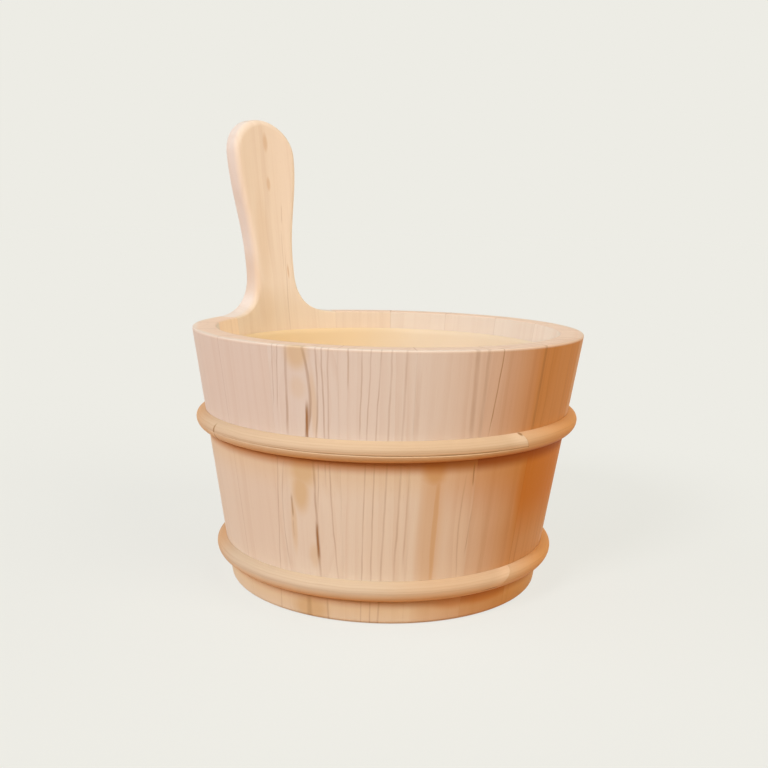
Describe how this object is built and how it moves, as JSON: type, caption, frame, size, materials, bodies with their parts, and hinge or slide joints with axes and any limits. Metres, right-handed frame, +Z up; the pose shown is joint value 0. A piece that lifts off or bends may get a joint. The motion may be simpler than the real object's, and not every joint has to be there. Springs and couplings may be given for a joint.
{
  "type": "sauna bucket",
  "caption": "Coopered wooden sauna bucket: tapered staves, one drawn up into a paddle handle, lapped half-round wooden hoops and a lift-out plastic liner.",
  "frame": {"origin": "on the floor, under the middle of the object's box seen from above, handle included; the tub's own axis stands 10 mm from it towards -Y", "axes": "+Z up along the tub's axis; +Y towards the handle stave"},
  "size_m": [0.2494, 0.2704, 0.2999],
  "materials": {
    "stave_wood": "planed and sanded pale pine, bare",
    "handle_wood": "sanded pale pine with rounded edges, bare",
    "hoop_wood": "smooth bent softwood strip, warmer in tone than the staves",
    "bottom_wood": "planed pine boards, bare",
    "dowel_wood": "plain hardwood dowel",
    "liner_plastic": "smooth satin moulding, warm cream"
  },
  "bodies": {
    "bucket": {"handle_stave": "handle_wood", "stave_01": "stave_wood", "stave_02": "stave_wood", "stave_03": "stave_wood", "stave_04": "stave_wood", "stave_05": "stave_wood", "stave_06": "stave_wood", "stave_07": "stave_wood", "stave_08": "stave_wood", "stave_09": "stave_wood", "stave_10": "stave_wood", "stave_11": "stave_wood", "stave_12": "stave_wood", "stave_13": "stave_wood", "stave_14": "stave_wood", "stave_15": "stave_wood", "bottom_board_left": "bottom_wood", "bottom_board_middle": "bottom_wood", "bottom_board_right": "bottom_wood", "bottom_dowel_1": "dowel_wood", "bottom_dowel_2": "dowel_wood", "bottom_dowel_3": "dowel_wood", "bottom_dowel_4": "dowel_wood", "upper_hoop": "hoop_wood", "lower_hoop": "hoop_wood"},
    "liner": {"liner": "liner_plastic"}
  },
  "joints": [
    {"name": "liner_lift", "type": "slide", "parent": "bucket", "child": "liner", "axis": [0, 0, 1], "range_m": [0, 0.16]}
  ]
}
